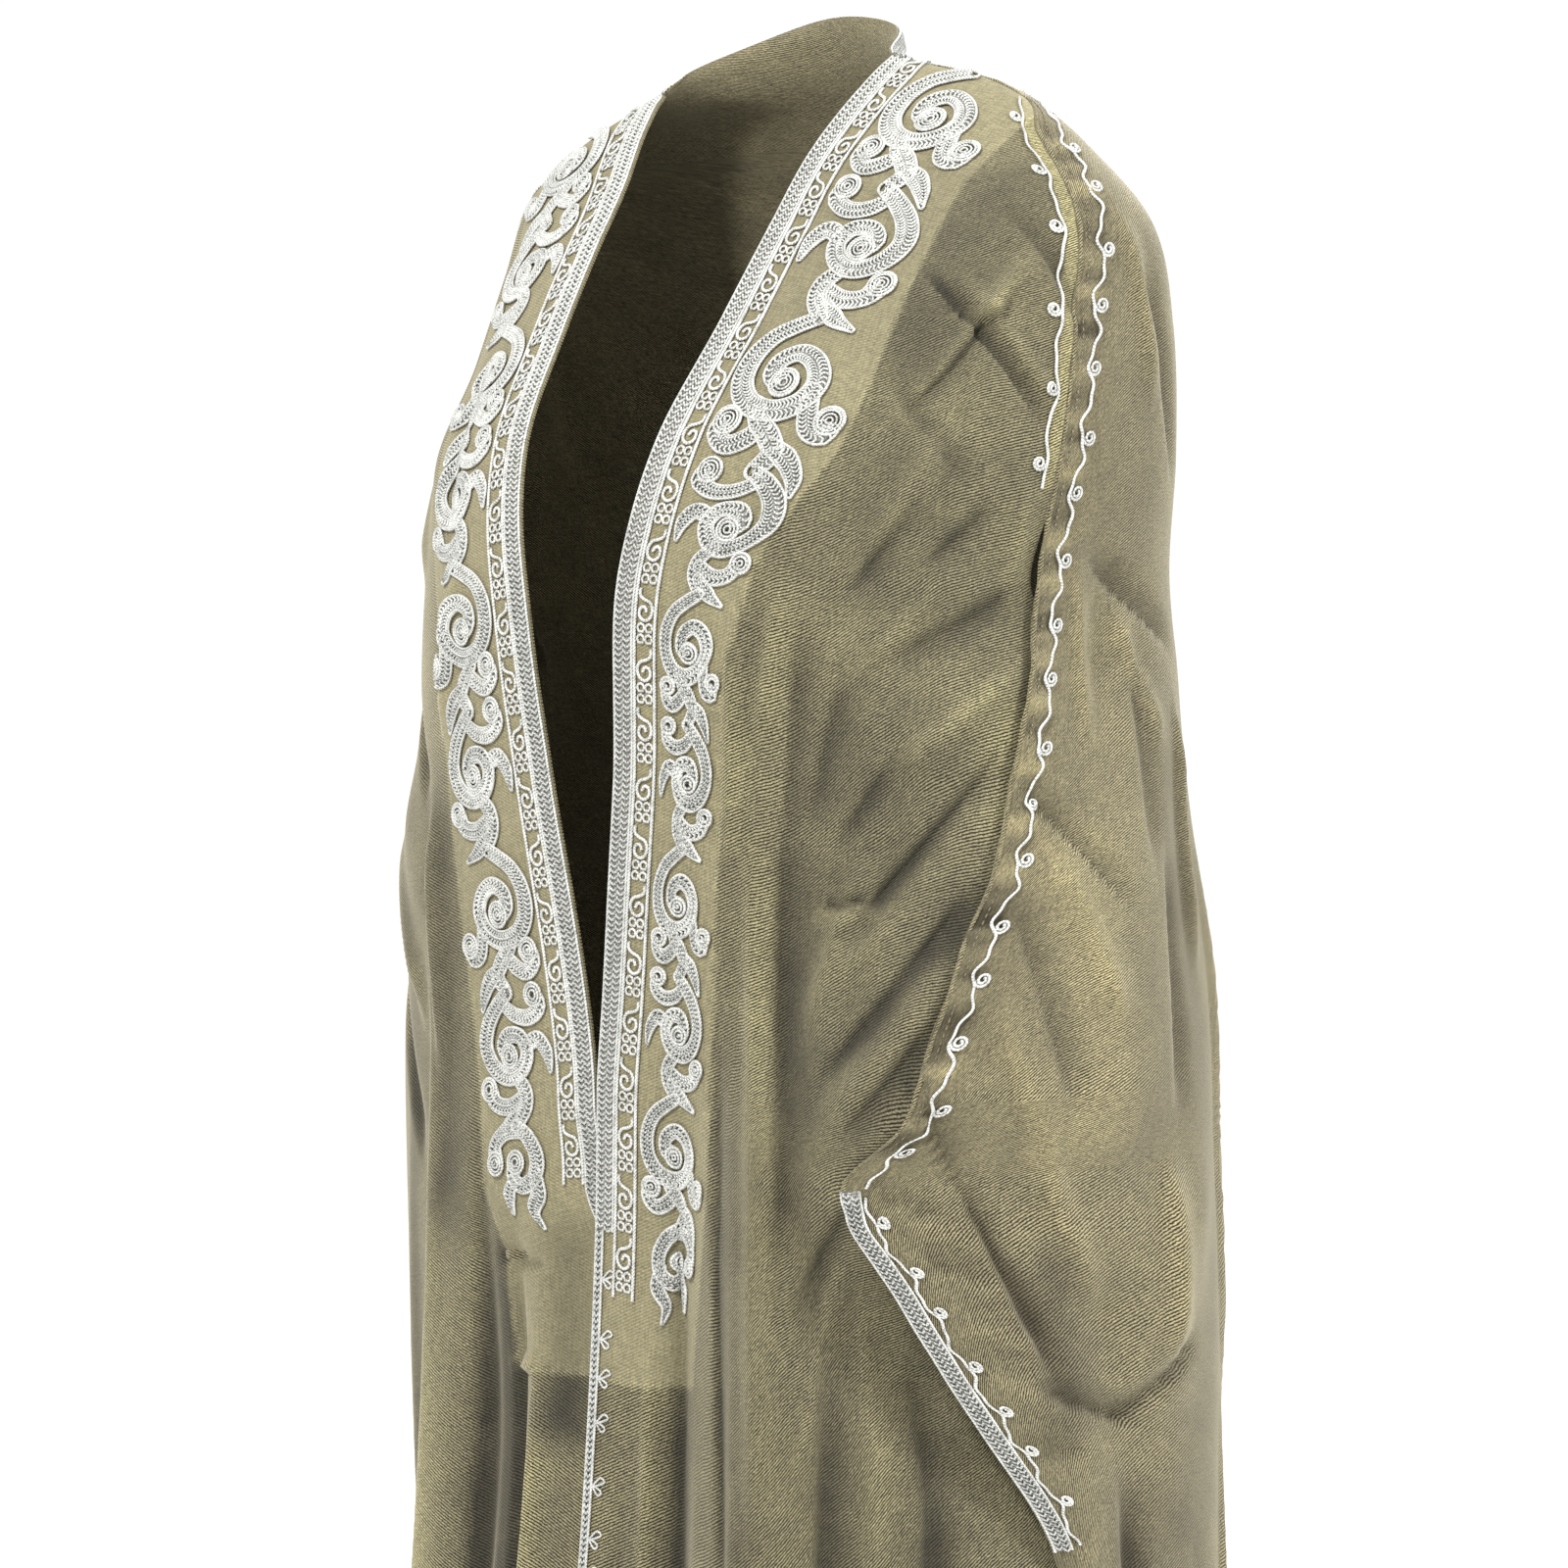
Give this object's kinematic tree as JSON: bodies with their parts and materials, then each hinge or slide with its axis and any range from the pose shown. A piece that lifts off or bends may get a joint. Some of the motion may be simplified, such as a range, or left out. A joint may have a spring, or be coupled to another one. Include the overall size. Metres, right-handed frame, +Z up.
{
  "type": "bisht cloak",
  "caption": "Open ankle-length cloak of light twill, worn and hollow, with corded scroll embroidery along the front edges and braid at the neck and hand openings.",
  "frame": {"origin": "midway between the two neck corners, level with them, where the wearer's neck and shoulders carry the cloak", "axes": "+Z up along the wearer, +X to the wearer's left, the open front faces -Y"},
  "size_m": [0.5997, 0.4835, 1.4425],
  "materials": {
    "cloth": "fine twill, matt with a faint sheen",
    "facing": "the same twill, doubled, a little lighter",
    "cord": "silvery twisted cord, couched"
  },
  "bodies": {
    "root": {"front_left": "cloth", "facing_left": "facing", "braid_left": "cord", "cuff_left": "cord", "front_right": "cloth", "facing_right": "facing", "braid_right": "cord", "cuff_right": "cord", "back": "cloth", "braid_neck": "cord"}
  },
  "joints": []
}
